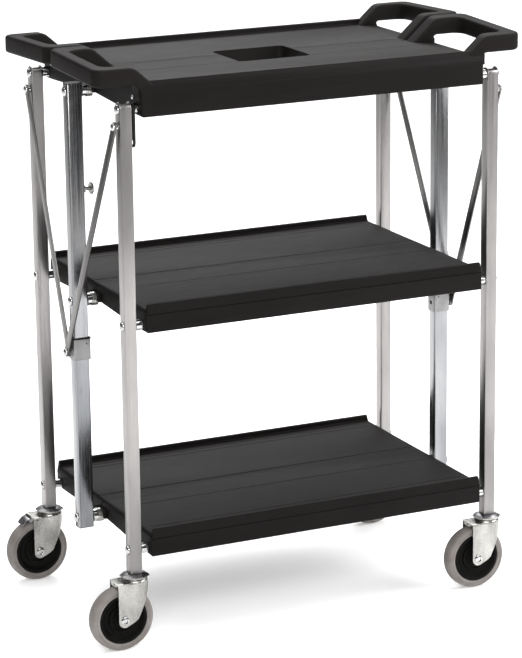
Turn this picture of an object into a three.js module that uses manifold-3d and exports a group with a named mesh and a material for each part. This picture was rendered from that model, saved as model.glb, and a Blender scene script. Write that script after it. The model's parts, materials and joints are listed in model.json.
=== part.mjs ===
// Folding three-shelf utility cart on four swivel casters.
// Units are millimetres. X runs along the shelves, Y to the rear, Z up, and the floor is Z = 0.
// Each shelf is split lengthwise into a front and a rear half. The halves turn on the corner legs and meet on
// two centre posts, so the shelves fold up in the middle and the front and rear legs come together.

import * as THREE from 'three';
import { mergeVertices } from 'three/addons/utils/BufferGeometryUtils.js';
import Module from 'manifold-3d';

const wasm = await Module();
wasm.setup();

// ---- Driving dimensions -------------------------------------------------------------------------

const GAP = 0.3; // between pieces that touch or turn on each other
const PIN_SIDES = 8;
const ROUND_SIDES = 24; // for wheels, races and the larger discs

const SHELF = {
  endX: 286, // half the length
  sideY: 196, // half the width
  splitY: 0.8, // half the slit between the front and rear halves
  wall: 4,
  endWall: 4,
  taperY: 12, // the end walls' lower edge rises from here to the split
  taperDrop: 2.4,
};

const PIVOT_Z = { bottom: 157, middle: 508, top: 835 }; // heights of the shelf pivots
const LEG_PIVOT_Y = 178;

const LOWER_SHELF = { skirtDrop: 11, deckRise: 24, lipRise: 33, lipWidth: 7 };
const TOP_SHELF = { skirtDrop: 12, deckRise: 31, rimRise: 40, rimOut: 188, rimIn: 181, shoulderRise: 25 };
// The front half's deck laps over a rebate along the rear half's edge.
const LAP = { reach: 20, thickness: 2.2, topHalfLength: 245 };
const HAND_HOLE = { halfLength: 61.5, halfWidth: 53.5, depth: 29, wall: 3.5 };

const HANDLE = {
  reach: 356.3, // outermost X
  rootX: 259, // where the arms leave the deck
  levelX: 294, // where the arms become level
  top: 897, // at the outer arm; the loop climbs from there to the split
  climb: 6.5,
  underside: 870,
  heelZ: 853, // lowest point of the arms' heels on the shelf end
  heelX: 290,
  barWidth: 22,
  outerY: 191,
  innerY: 3,
  armInnerY: 166, // inner face of the outer arm
  centreArmY: 31, // outer face of the arm beside the split
  cornerRadius: 18,
};

const LEG = { innerX: 298, size: 19, wall: 1.5, bottomZ: 120, archRadius: 11 };
const POST = { innerX: 303.7, width: 25, depth: 19, wall: 1.6, bottomZ: 142, topRise: 12 };

const PIN = { radius: 4, hole: 4.5, headRadius: 7.2, headHeight: 4, spacerRadius: 8, innerHeadRadius: 7 };
const LUG = { radius: 11, thickness: 4, rootY: 30, rootRise: 14 };
const CENTRE_SPACER_RADIUS = 11;

const BRACE = {
  topZ: 810,
  bottomZ: 428,
  width: 15,
  thickness: 2.5,
  topX: 321.3, // inner face at the leg
  rearBottomX: 333.5, // inner face at the collar, rear brace
  frontBottomX: 336.7, // inner face at the collar, front brace
  headRadius: 5.8,
  rivetRadius: 3,
  rivetHole: 3.5,
};

const COLLAR = {
  bottomZ: 415,
  height: 33,
  wall: 1.5,
  clearance: 0.4,
  bossRadius: 7.5,
  bossGap: 1, // to the rear brace, which leans past the boss as the cart folds
  holeZ: 430,
  hole: 3.5,
};

const LATCH = {
  innerX: 292,
  thickness: 3,
  halfWidth: 8,
  length: 58,
  hookRadius: 49.8, // from the pivot to the middle of the hook's slot
  slotHalf: 3.6,
  slotDepth: 3.8,
};
const STUD = { z: 682, shankRadius: 2.75, headRadius: 9.5, headInnerX: 288, headOuterX: 291.6 };

const WHEEL = { radius: 50.8, hubRadius: 38.5, width: 25, bossHalf: 14, axleRadius: 4, bore: 4.5, trail: 24 };
const FORK = {
  plateInnerY: 15.5,
  plate: 2.5,
  crownBottom: 106.8,
  crownTop: 109.2,
  discTop: 114.2,
  discRadius: 20,
  rearX: -34,
  frontX: 21,
  lip: 6.7,
  lipHole: 2.2,
  bossRadius: 10,
  axleHead: 6.8,
  axleHeadHeight: 2.6,
  toeX: -7, // the plates' lower edge runs from the boss to the toe, then up to the knee and the nose
  toeZ: 48,
  kneeX: 13,
  kneeZ: 75,
};
const STEM = { raceBottom: 114.6, raceTop: 119.7, raceRadius: 23, radius: 5.5, topZ: 150, kingpin: 4 };
const PEDAL = {
  x: -38.2,
  z: 104.4,
  barrel: 2.4,
  halfWidth: 11.6,
  reachX: -52,
  drop: 8,
  thickness: 2,
  pin: 1.5,
  hole: 1.9,
  ear: 2.2,
};

const LEG_X = LEG.innerX + LEG.size / 2;
const POST_X = POST.innerX + POST.width / 2;
const WHEEL_X = -WHEEL.trail; // wheel axis, from the swivel axis
const CASTER_REACH = LEG_X + WHEEL.trail + WHEEL.radius;
const SHELVES_X = (CASTER_REACH - HANDLE.reach) / 2; // puts the origin midway along the overall length

// ---- Materials ----------------------------------------------------------------------------------

function material(color, roughness, metalness) {
  return new THREE.MeshStandardMaterial({ color, roughness, metalness });
}

const FINISH = {
  shelf: () => material(0x3a3735, 0.55, 0),
  leg: () => material(0xb9b4b0, 0.35, 0.9),
  post: () => material(0x9a9a9d, 0.25, 0.95),
  collar: () => material(0x8d8d90, 0.5, 0.4),
  zinc: () => material(0xc4c4c6, 0.35, 0.9),
  rivet: () => material(0xd6d6d8, 0.25, 0.95),
  tyre: () => material(0x77726d, 0.8, 0),
  hub: () => material(0x1c1c1d, 0.5, 0),
  latch: () => material(0x161616, 0.5, 0),
};

// ---- Solids -------------------------------------------------------------------------------------

function solid(geometry) {
  geometry.deleteAttribute('normal');
  geometry.deleteAttribute('uv');
  const merged = mergeVertices(geometry, 1e-5);
  const vertProperties = new Float32Array(merged.attributes.position.array);
  const triVerts = new Uint32Array(merged.index.array);
  return new wasm.Manifold(new wasm.Mesh({ numProp: 3, vertProperties, triVerts }));
}

function geometryOf(body) {
  const mesh = body.getMesh();
  const geometry = new THREE.BufferGeometry();
  geometry.setAttribute('position', new THREE.BufferAttribute(mesh.vertProperties, 3));
  geometry.setIndex(new THREE.BufferAttribute(mesh.triVerts, 1));
  return geometry;
}

function shapeOf(outline) {
  if (outline instanceof THREE.Shape) return outline;
  return new THREE.Shape(outline.map(([a, b]) => new THREE.Vector2(a, b)));
}

function extrude(outline, depth) {
  return new THREE.ExtrudeGeometry(shapeOf(outline), { depth, bevelEnabled: false, curveSegments: 4 });
}

// An outline in (y, z), from x0 to x1.
function plateX(outline, x0, x1) {
  const low = Math.min(x0, x1);
  const basis = new THREE.Matrix4().makeBasis(
    new THREE.Vector3(0, 1, 0),
    new THREE.Vector3(0, 0, 1),
    new THREE.Vector3(1, 0, 0),
  );
  return solid(extrude(outline, Math.abs(x1 - x0)).applyMatrix4(basis.setPosition(low, 0, 0)));
}

// An outline in (x, z), from y0 to y1.
function plateY(outline, y0, y1) {
  const high = Math.max(y0, y1);
  const basis = new THREE.Matrix4().makeBasis(
    new THREE.Vector3(1, 0, 0),
    new THREE.Vector3(0, 0, 1),
    new THREE.Vector3(0, -1, 0),
  );
  return solid(extrude(outline, Math.abs(y1 - y0)).applyMatrix4(basis.setPosition(0, high, 0)));
}

// An outline in (x, y), from z0 to z1.
function plateZ(outline, z0, z1) {
  return solid(extrude(outline, z1 - z0).translate(0, 0, z0));
}

function block(x0, x1, y0, y1, z0, z1) {
  const size = new THREE.BoxGeometry(Math.abs(x1 - x0), Math.abs(y1 - y0), Math.abs(z1 - z0));
  return solid(size.translate((x0 + x1) / 2, (y0 + y1) / 2, (z0 + z1) / 2));
}

function cylinder(radius, length, sides) {
  return new THREE.CylinderGeometry(radius, radius, length, sides);
}

function rodX(radius, x0, x1, y, z, sides = PIN_SIDES) {
  const rod = cylinder(radius, Math.abs(x1 - x0), sides).rotateZ(Math.PI / 2);
  return solid(rod.translate((x0 + x1) / 2, y, z));
}

function rodY(radius, y0, y1, x, z, sides = PIN_SIDES) {
  return solid(cylinder(radius, Math.abs(y1 - y0), sides).translate(x, (y0 + y1) / 2, z));
}

function rodZ(radius, z0, z1, x, y, sides = PIN_SIDES) {
  const rod = cylinder(radius, Math.abs(z1 - z0), sides).rotateX(Math.PI / 2);
  return solid(rod.translate(x, y, (z0 + z1) / 2));
}

// A rivet head with a bevelled rim, standing out along +X from x0.
function rivetHeadX(radius, height, x0, y, z) {
  const profile = [
    new THREE.Vector2(0, 0),
    new THREE.Vector2(radius, 0),
    new THREE.Vector2(radius * 0.85, height * 0.6),
    new THREE.Vector2(radius * 0.4, height),
    new THREE.Vector2(0, height),
  ];
  const head = new THREE.LatheGeometry(profile, PIN_SIDES).rotateZ(-Math.PI / 2);
  return solid(head.translate(x0, y, z));
}

function union(bodies) {
  return bodies.reduce((sum, body) => sum.add(body));
}

function cut(body, tools) {
  return tools.reduce((rest, tool) => rest.subtract(tool), body);
}

function piece(name, body, finish) {
  const mesh = new THREE.Mesh(geometryOf(body), FINISH[finish]());
  mesh.name = name;
  return mesh;
}

// ---- Shelf halves -------------------------------------------------------------------------------
// A half is drawn as the front one, with Z measured from its pivots. The rear one is its mirror image.

function lowerSection() {
  const { sideY, splitY, wall } = SHELF;
  const { skirtDrop, deckRise, lipRise, lipWidth } = LOWER_SHELF;
  return [
    [-sideY, -skirtDrop],
    [-sideY, lipRise - 2],
    [-sideY + 2, lipRise],
    [-sideY + lipWidth, lipRise],
    [-sideY + lipWidth + 2, deckRise],
    [-splitY, deckRise],
    [-splitY, 0],
    [-splitY - wall, 0],
    [-splitY - wall, deckRise - wall],
    [-sideY + wall, deckRise - wall],
    [-sideY + wall, -skirtDrop],
  ];
}

function topSection() {
  const { sideY, splitY, wall } = SHELF;
  const { skirtDrop, deckRise, rimRise, rimOut, rimIn, shoulderRise } = TOP_SHELF;
  return [
    [-sideY, -skirtDrop],
    [-sideY, shoulderRise],
    [-rimOut - 3, rimRise - 4],
    [-rimOut, rimRise],
    [-rimIn, rimRise],
    [-rimIn + 3, deckRise],
    [-splitY, deckRise],
    [-splitY, 0],
    [-splitY - wall, 0],
    [-splitY - wall, deckRise - wall],
    [-rimIn - 1, deckRise - wall],
    [-sideY + wall, shoulderRise - 2],
    [-sideY + wall, -skirtDrop],
  ];
}

// The end wall's lower edge rises towards the split, which keeps the folded halves clear of each other.
function endWallOutline(skirtDrop, deckRise) {
  const { sideY, splitY, taperY, taperDrop } = SHELF;
  return [
    [-sideY + 1, -skirtDrop],
    [-sideY + 1, deckRise - 1],
    [-splitY, deckRise - 1],
    [-splitY, 0],
    [-taperY, -taperDrop],
  ];
}

// Hinge lug on the centre pin. The front half's lug is the inner layer, the rear half's the outer one.
function centreLug(side, outer) {
  const { taperY, taperDrop, splitY, endX } = SHELF;
  const inner = endX + GAP + (outer ? LUG.thickness + GAP : 0);
  const face = inner + LUG.thickness;
  const root = [
    [-LUG.rootY, -taperDrop],
    [-LUG.rootY, LUG.rootRise],
    [outer ? -taperY : -splitY, LUG.radius],
    [outer ? -taperY : -splitY, outer ? -taperDrop : 0],
    [-taperY, -taperDrop],
  ];
  const bridge = [
    [-LUG.rootY, -taperDrop],
    [-LUG.rootY, LUG.rootRise],
    [0, LUG.radius],
    [0, 0],
    [-taperY, -taperDrop],
  ];
  return union([
    rodX(LUG.radius, side * inner, side * face, 0, 0, ROUND_SIDES),
    plateX(bridge, side * inner, side * face),
    plateX(root, side * (endX - 1), side * face),
  ]);
}

// One D-shaped loop: its plan outline, cut to its side profile.
function handleLoop(side) {
  const h = HANDLE;
  const top = h.top - PIVOT_Z.top;
  const underside = h.underside - PIVOT_Z.top;
  const heel = h.heelZ - PIVOT_Z.top;
  const base = TOP_SHELF.deckRise - 1 - h.climb;
  const slope = (top - TOP_SHELF.deckRise + 1) / (h.levelX - h.rootX);
  const baseX = h.rootX - h.climb / slope;
  const plan = new THREE.Shape();
  plan.moveTo(side * baseX, -h.outerY);
  plan.lineTo(side * (h.reach - h.cornerRadius), -h.outerY);
  plan.quadraticCurveTo(side * h.reach, -h.outerY, side * h.reach, -h.outerY + h.cornerRadius);
  plan.lineTo(side * h.reach, -h.innerY - h.cornerRadius);
  plan.quadraticCurveTo(side * h.reach, -h.innerY, side * (h.reach - h.cornerRadius), -h.innerY);
  plan.lineTo(side * baseX, -h.innerY);
  plan.lineTo(side * baseX, -h.centreArmY);
  plan.lineTo(side * (h.reach - h.barWidth), -h.centreArmY);
  plan.lineTo(side * (h.reach - h.barWidth), -h.armInnerY);
  plan.lineTo(side * baseX, -h.armInnerY);
  const profile = [
    [side * baseX, base],
    [side * h.levelX, top],
    [side * (h.reach + 1), top],
    [side * (h.reach + 1), underside],
    [side * h.heelX, underside],
    [side * h.heelX, heel],
    [side * (SHELF.endX - 2), heel],
    [side * (SHELF.endX - 2), base],
  ];
  const rate = h.climb / (h.outerY - h.innerY);
  const climb = new THREE.Matrix4().set(1, 0, 0, 0, 0, 1, 0, 0, 0, rate, 1, rate * h.outerY, 0, 0, 0, 1);
  const sides = geometryOf(plateY(profile, -SHELF.sideY, 0)).applyMatrix4(climb);
  return plateZ(plan, 0, h.top).intersect(solid(sides));
}

function handHoleWalls() {
  const { halfLength, halfWidth, depth, wall } = HAND_HOLE;
  const deck = TOP_SHELF.deckRise;
  const outX = halfLength + wall;
  const outY = halfWidth + wall;
  const frame = block(-outX, outX, -outY, -SHELF.splitY, deck - depth, deck - 1);
  return frame.subtract(block(-halfLength, halfLength, -halfWidth, 1, -deck, deck + 1));
}

function shelfHalf(level, isRear) {
  const isTop = level === 'top';
  const { skirtDrop, deckRise } = isTop ? TOP_SHELF : LOWER_SHELF;
  const endWall = endWallOutline(skirtDrop, deckRise);
  const lapX = isTop ? LAP.topHalfLength : SHELF.endX;
  const lapBottom = deckRise - LAP.thickness;
  const parts = [plateX(isTop ? topSection() : lowerSection(), -SHELF.endX, SHELF.endX)];
  if (!isRear) parts.push(block(-lapX, lapX, -SHELF.wall, LAP.reach, lapBottom, deckRise));
  const holes = [];
  for (const side of [-1, 1]) {
    parts.push(plateX(endWall, side * (SHELF.endX - SHELF.endWall), side * SHELF.endX));
    parts.push(centreLug(side, isRear));
    if (isTop) parts.push(handleLoop(side));
    holes.push(rodX(PIN.hole, side * (SHELF.endX - 2 * SHELF.endWall), side * LEG.innerX, -LEG_PIVOT_Y, 0));
    holes.push(rodX(PIN.hole, side * (SHELF.endX + GAP / 2), side * POST.innerX, 0, 0));
  }
  const body = isTop ? withHandHole(cut(union(parts), holes)) : cut(union(parts), holes);
  if (!isRear) return body;
  const rebateX = lapX + 2 * GAP;
  const rebateY = -LAP.reach - SHELF.splitY;
  return body.subtract(block(-rebateX, rebateX, rebateY, 1, lapBottom - GAP, deckRise + 1));
}

function withHandHole(body) {
  const { halfLength, halfWidth } = HAND_HOLE;
  const deck = TOP_SHELF.deckRise;
  const notch = block(-halfLength, halfLength, -halfWidth, LAP.reach + 1, -deck, deck + 1);
  return body.subtract(notch).add(handHoleWalls());
}

// ---- Legs, posts and pins (drawn at the +X end, with Y = 0 on their own axis) -------------------

function leg() {
  const top = PIVOT_Z.top + LEG.archRadius;
  const half = LEG.size / 2;
  const inner = half - LEG.wall;
  const outline = new THREE.Shape();
  outline.moveTo(-half, LEG.bottomZ);
  outline.lineTo(half, LEG.bottomZ);
  outline.lineTo(half, top - half);
  outline.absarc(0, top - half, half, 0, Math.PI, false);
  const x1 = LEG.innerX + LEG.size;
  const holes = Object.values(PIVOT_Z).map((z) => rodX(PIN.hole, LEG.innerX - 1, x1 + 1, 0, z));
  const braceHole = rodX(BRACE.rivetHole, x1 - LEG.wall - 1, x1 + 1, 0, BRACE.topZ);
  const body = plateX(outline, LEG.innerX, x1);
  const bore = block(LEG.innerX + LEG.wall, x1 - LEG.wall, -inner, inner, 0, top + 1);
  return cut(body, [bore, ...holes, braceHole]);
}

function post() {
  const x1 = POST.innerX + POST.width;
  const top = PIVOT_Z.top + POST.topRise;
  const half = POST.depth / 2;
  const body = block(POST.innerX, x1, -half, half, POST.bottomZ, top);
  const inner = half - POST.wall;
  const bore = block(POST.innerX + POST.wall, x1 - POST.wall, -inner, inner, 0, top + 1);
  const holes = Object.values(PIVOT_Z).map((z) => rodX(PIN.hole, POST.innerX - 1, x1 + 1, 0, z));
  const studHole = rodX(STUD.shankRadius + GAP, POST.innerX - 1, POST.innerX + POST.wall + 1, 0, STUD.z);
  return cut(body, [bore, ...holes, studHole]);
}

function legPin(z, carriesLatch) {
  const wallX = SHELF.endX - SHELF.endWall;
  const faceX = LEG.innerX + LEG.size + GAP;
  const spacer = rodX(PIN.spacerRadius, SHELF.endX + GAP, LEG.innerX - GAP, 0, z);
  const latchEnd = LATCH.innerX + LATCH.thickness + GAP;
  const latchRoom = rodX(PIN.spacerRadius + 1, LATCH.innerX - GAP, latchEnd, 0, z);
  return union([
    carriesLatch ? spacer.subtract(latchRoom) : spacer,
    rodX(PIN.innerHeadRadius, wallX - GAP - 3, wallX - GAP, 0, z),
    rodX(PIN.radius, wallX - 2, faceX + 0.5, 0, z),
    rivetHeadX(PIN.headRadius, PIN.headHeight, faceX, 0, z),
  ]);
}

function centrePin(z) {
  const lugsEndX = SHELF.endX + 2 * (GAP + LUG.thickness);
  const faceX = POST.innerX + POST.width + GAP;
  return union([
    rodX(PIN.radius, SHELF.endX + GAP, faceX + 0.5, 0, z),
    rodX(CENTRE_SPACER_RADIUS, lugsEndX + GAP, POST.innerX - GAP, 0, z, ROUND_SIDES),
    rivetHeadX(PIN.headRadius, PIN.headHeight, faceX, 0, z),
  ]);
}

// ---- Braces and collars -------------------------------------------------------------------------

// A flat bar in a sheared frame, so that it leans outwards while its ends stay square to the pins.
// Front and rear braces share one rivet on the collar: its head is on the front brace, the outer of the two.
function brace(isFront) {
  const bottomX = isFront ? BRACE.frontBottomX : BRACE.rearBottomX;
  const run = LEG_PIVOT_Y;
  const fall = BRACE.topZ - BRACE.bottomZ;
  const length = Math.hypot(run, fall);
  const half = BRACE.width / 2;
  const bar = new THREE.Shape();
  bar.absarc(0, 0, half, 0, Math.PI, false);
  bar.absarc(0, -length, half, Math.PI, 2 * Math.PI, false);
  const washerX = LEG.innerX + LEG.size + GAP - BRACE.topX;
  const parts = [
    plateX(bar, 0, BRACE.thickness),
    rivetHeadX(BRACE.headRadius, PIN.headHeight, BRACE.thickness - 0.2, 0, 0),
    rodX(BRACE.headRadius, washerX, 0.5, 0, 0),
    rodX(BRACE.rivetRadius, washerX - LEG.wall - 1, 0.5, 0, 0),
  ];
  if (isFront) parts.push(rivetHeadX(BRACE.headRadius, PIN.headHeight, BRACE.thickness - 0.2, 0, -length));
  const lean = (bottomX - BRACE.topX) / length;
  const shear = new THREE.Matrix4().set(1, 0, -lean, 0, 0, 1, 0, 0, 0, 0, 1, 0, 0, 0, 0, 1);
  const turn = new THREE.Matrix4().makeRotationX(Math.atan2(run, fall));
  const place = new THREE.Matrix4().makeTranslation(BRACE.topX, -LEG_PIVOT_Y, BRACE.topZ);
  return geometryOf(union(parts)).applyMatrix4(place.multiply(turn).multiply(shear));
}

function collar() {
  const x0 = POST.innerX - COLLAR.clearance;
  const x1 = POST.innerX + POST.width + COLLAR.clearance;
  const y = POST.depth / 2 + COLLAR.clearance;
  const z1 = COLLAR.bottomZ + COLLAR.height;
  const outY = y + COLLAR.wall;
  const sleeve = block(x0 - COLLAR.wall, x1 + COLLAR.wall, -outY, outY, COLLAR.bottomZ, z1);
  const boss = rodX(COLLAR.bossRadius, x1 + 0.5, BRACE.rearBottomX - COLLAR.bossGap, 0, BRACE.bottomZ);
  const bore = block(x0, x1, -y, y, COLLAR.bottomZ - 1, z1 + 1);
  return cut(sleeve.add(boss), [bore, rodX(COLLAR.hole, x0 - 2 * COLLAR.wall, x0 + 1, 0, COLLAR.holeZ)]);
}

// ---- Latch --------------------------------------------------------------------------------------

function latch() {
  const { innerX, thickness, halfWidth, length, hookRadius, slotHalf, slotDepth } = LATCH;
  const tongue = new THREE.Shape();
  tongue.absarc(0, 0, halfWidth, 0, Math.PI, false);
  tongue.absarc(0, -length + halfWidth, halfWidth, Math.PI, 2 * Math.PI, false);
  const x0 = innerX - 1;
  const x1 = innerX + thickness + 1;
  const slot = block(x0, x1, -slotDepth, halfWidth + 1, -hookRadius - slotHalf, -hookRadius + slotHalf);
  const hole = rodX(PIN.hole, x0, x1, 0, 0);
  return cut(plateX(tongue, innerX, innerX + thickness), [slot, hole]);
}

function latchStud() {
  return union([
    rodX(STUD.shankRadius, STUD.headInnerX + 1, POST.innerX + POST.wall, 0, STUD.z),
    rodX(STUD.headRadius, STUD.headInnerX, STUD.headOuterX, 0, STUD.z, ROUND_SIDES),
  ]);
}

// ---- Casters (drawn with the swivel axis on X = Y = 0, trailing towards -X) ---------------------

function casterStem() {
  return union([
    rodZ(STEM.radius, STEM.raceTop - 1, STEM.topZ, 0, 0),
    rodZ(STEM.raceRadius, STEM.raceBottom, STEM.raceTop, 0, 0, ROUND_SIDES),
    rodZ(STEM.kingpin, FORK.crownBottom, STEM.raceBottom + 1, 0, 0),
  ]);
}

function forkPlateOutline() {
  const outline = new THREE.Shape();
  outline.absarc(WHEEL_X, WHEEL.radius - 1, FORK.bossRadius, Math.PI, Math.PI * 1.6, false);
  outline.lineTo(FORK.toeX, FORK.toeZ);
  outline.lineTo(FORK.kneeX, FORK.kneeZ);
  outline.lineTo(FORK.frontX, FORK.crownBottom - 4);
  outline.lineTo(FORK.frontX, FORK.crownTop);
  outline.lineTo(WHEEL_X - FORK.bossRadius, FORK.crownTop);
  return outline;
}

function fork(hasPedal) {
  const inner = FORK.plateInnerY;
  const outer = inner + FORK.plate;
  const parts = [
    plateY(forkPlateOutline(), inner, outer),
    plateY(forkPlateOutline(), -outer, -inner),
    block(FORK.rearX, FORK.frontX, -outer, outer, FORK.crownBottom, FORK.crownTop),
    rodZ(FORK.discRadius, FORK.crownTop - 1, FORK.discTop, 0, 0, ROUND_SIDES),
  ];
  const holes = [
    rodY(WHEEL.bore, -outer - 1, outer + 1, WHEEL_X, WHEEL.radius),
    rodZ(STEM.kingpin + GAP, FORK.crownBottom - 1, FORK.discTop + 1, 0, 0),
  ];
  if (hasPedal) {
    const earRear = PEDAL.x - PEDAL.barrel;
    const earBottom = PEDAL.z - PEDAL.barrel;
    const ear = [
      [FORK.rearX + 2, FORK.crownTop],
      [earRear, FORK.crownTop],
      [earRear, earBottom],
      [FORK.rearX + 2, earBottom],
    ];
    const y = PEDAL.halfWidth + GAP;
    for (const side of [-1, 1]) parts.push(plateY(ear, side * y, side * (y + PEDAL.ear)));
    holes.push(rodY(PEDAL.hole, -outer, outer, PEDAL.x, PEDAL.z));
  } else {
    const lipEnd = FORK.rearX + FORK.plate;
    const lipBottom = FORK.crownTop - FORK.lip;
    parts.push(block(FORK.rearX, lipEnd, -PEDAL.halfWidth, PEDAL.halfWidth, lipBottom, FORK.crownTop));
    holes.push(rodX(FORK.lipHole, FORK.rearX - 1, lipEnd + 1, 0, FORK.crownTop - FORK.lip / 2));
  }
  return cut(union(parts), holes);
}

function pedal() {
  const top = PEDAL.z + PEDAL.barrel;
  const tab = [
    [PEDAL.x, top - PEDAL.thickness],
    [PEDAL.x, top],
    [PEDAL.reachX, top - PEDAL.drop],
    [PEDAL.reachX, top - PEDAL.drop - PEDAL.thickness],
  ];
  const end = PEDAL.halfWidth + GAP + PEDAL.ear;
  return union([
    rodY(PEDAL.barrel, -PEDAL.halfWidth, PEDAL.halfWidth, PEDAL.x, PEDAL.z),
    rodY(PEDAL.pin, -end, end, PEDAL.x, PEDAL.z),
    plateY(tab, -PEDAL.halfWidth, PEDAL.halfWidth),
  ]);
}

function wheelLathe(points) {
  const profile = [...points, points[0]].map(([r, y]) => new THREE.Vector2(r, y));
  return solid(new THREE.LatheGeometry(profile, ROUND_SIDES)).translate([WHEEL_X, 0, WHEEL.radius]);
}

function tyre() {
  const half = WHEEL.width / 2;
  const r = WHEEL.radius;
  return wheelLathe([
    [WHEEL.hubRadius + GAP, -half],
    [r - 4, -half],
    [r, -half + 7],
    [r, half - 7],
    [r - 4, half],
    [WHEEL.hubRadius + GAP, half],
  ]);
}

function hub() {
  const half = WHEEL.width / 2;
  const boss = WHEEL.bossHalf;
  return wheelLathe([
    [WHEEL.bore, -boss],
    [12, -boss],
    [14, -half + 4],
    [WHEEL.hubRadius - 4, -half + 4],
    [WHEEL.hubRadius, -half + 1],
    [WHEEL.hubRadius, half - 1],
    [WHEEL.hubRadius - 4, half - 4],
    [14, half - 4],
    [12, boss],
    [WHEEL.bore, boss],
  ]);
}

function axle() {
  const face = FORK.plateInnerY + FORK.plate + GAP;
  return union([
    rodY(WHEEL.axleRadius, -face - 1, face + 1, WHEEL_X, WHEEL.radius),
    rodY(FORK.axleHead, face, face + FORK.axleHeadHeight, WHEEL_X, WHEEL.radius, 12),
    rodY(FORK.axleHead, -face - FORK.axleHeadHeight, -face, WHEEL_X, WHEEL.radius, 12),
  ]);
}

// ---- Assembly -----------------------------------------------------------------------------------

const cart = new THREE.Group();
cart.position.x = SHELVES_X;

const ENDS = [
  { name: 'right', side: 1 },
  { name: 'left', side: -1 },
];
const SIDES = [
  { name: 'front', side: -1 },
  { name: 'rear', side: 1 },
];

function placed(mesh, x, y, z) {
  mesh.position.set(x, y, z);
  return mesh;
}

// Shelf halves. The rear half is the mirror image of the front one.
for (const [level, z] of Object.entries(PIVOT_Z)) {
  for (const { name, side } of SIDES) {
    const half = piece(`${level}_shelf_${name}`, shelfHalf(level, side > 0), 'shelf');
    half.scale.y = -side;
    cart.add(placed(half, 0, 0, z));
  }
}

// Each end of the cart is drawn at +X and mirrored for the left.
for (const end of ENDS) {
  const group = new THREE.Group();
  group.scale.x = end.side;
  cart.add(group);
  group.add(piece(`centre_post_${end.name}`, post(), 'post'));
  group.add(piece(`collar_${end.name}`, collar(), 'collar'));
  for (const [level, z] of Object.entries(PIVOT_Z)) {
    group.add(piece(`${level}_pin_centre_${end.name}`, centrePin(z), 'rivet'));
  }
  for (const { name, side } of SIDES) {
    group.add(placed(piece(`leg_${name}_${end.name}`, leg(), 'leg'), 0, side * LEG_PIVOT_Y, 0));
    for (const [level, z] of Object.entries(PIVOT_Z)) {
      const carriesLatch = level === 'top' && name === 'front' && end.name === 'left';
      const pin = piece(`${level}_pin_${name}_${end.name}`, legPin(z, carriesLatch), 'rivet');
      group.add(placed(pin, 0, side * LEG_PIVOT_Y, 0));
    }
    const bar = new THREE.Mesh(brace(side < 0), FINISH.leg());
    bar.name = `brace_${name}_${end.name}`;
    bar.scale.y = -side;
    group.add(bar);
  }
  if (end.name === 'left') {
    group.add(placed(piece('latch', latch(), 'latch'), 0, -LEG_PIVOT_Y, PIVOT_Z.top));
    group.add(piece('latch_stud', latchStud(), 'zinc'));
  }
}

// Casters all trail towards -X. Only the rear ones have a brake pedal.
for (const end of ENDS) {
  for (const { name, side } of SIDES) {
    const where = `${name}_${end.name}`;
    const hasPedal = name === 'rear';
    const caster = new THREE.Group();
    caster.position.set(end.side * LEG_X, side * LEG_PIVOT_Y, 0);
    cart.add(caster);
    caster.add(piece(`caster_stem_${where}`, casterStem(), 'zinc'));
    caster.add(piece(`caster_fork_${where}`, fork(hasPedal), 'zinc'));
    caster.add(piece(`tyre_${where}`, tyre(), 'tyre'));
    caster.add(piece(`wheel_hub_${where}`, hub(), 'hub'));
    caster.add(piece(`axle_${where}`, axle(), 'rivet'));
    if (hasPedal) caster.add(piece(`brake_pedal_${where}`, pedal(), 'zinc'));
  }
}

export default cart;
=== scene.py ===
"""Looks of the folding three-shelf utility cart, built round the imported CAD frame.

Shapes are drawn in millimetres about a local origin, then set in metres where the frame says.
Front and right-hand shapes are drawn once and mirrored for the rear and the left.
"""
import json
import math

import bmesh
import bpy
from mathutils import Euler, Matrix, Vector


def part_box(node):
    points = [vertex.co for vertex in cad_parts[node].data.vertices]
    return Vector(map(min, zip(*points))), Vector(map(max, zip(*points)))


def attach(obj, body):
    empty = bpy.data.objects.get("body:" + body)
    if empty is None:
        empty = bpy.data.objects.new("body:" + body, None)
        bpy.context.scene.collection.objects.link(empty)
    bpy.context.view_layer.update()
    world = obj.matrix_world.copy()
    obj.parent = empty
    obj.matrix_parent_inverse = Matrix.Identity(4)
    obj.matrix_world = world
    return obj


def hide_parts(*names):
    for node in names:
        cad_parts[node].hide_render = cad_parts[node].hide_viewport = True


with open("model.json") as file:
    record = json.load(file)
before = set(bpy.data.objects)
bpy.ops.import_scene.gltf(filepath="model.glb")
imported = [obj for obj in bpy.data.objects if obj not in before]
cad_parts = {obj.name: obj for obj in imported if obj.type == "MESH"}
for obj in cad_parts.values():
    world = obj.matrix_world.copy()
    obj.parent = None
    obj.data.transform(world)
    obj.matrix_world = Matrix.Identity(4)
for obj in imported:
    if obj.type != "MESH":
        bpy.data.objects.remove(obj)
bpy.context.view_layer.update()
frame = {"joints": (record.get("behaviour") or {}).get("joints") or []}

# ---- Driving dimensions ----

MM = 0.001
CAVITY_DEPTH = 60.0  # how far cutting tools reach past a surface
SMOOTH_ANGLE = 32  # degrees; sharper edges stay sharp

SIDES = ("front", "rear")
ENDS = ("right", "left")
LEVELS = ("bottom", "middle", "top")


def middle(node):
    low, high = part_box(node)
    return (low + high) / 2


def joint_place(name):
    return next(Vector(j["pos_m"]) for j in frame["joints"] if j["name"] == name)


SHELF_X = middle("bottom_shelf_front").x
LEG_Y = -joint_place("fold").y
PIVOT_Z = {
    "bottom": joint_place("bottom_front_hinge").z,
    "middle": joint_place("middle_front_hinge").z,
    "top": joint_place("fold").z,
}

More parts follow.
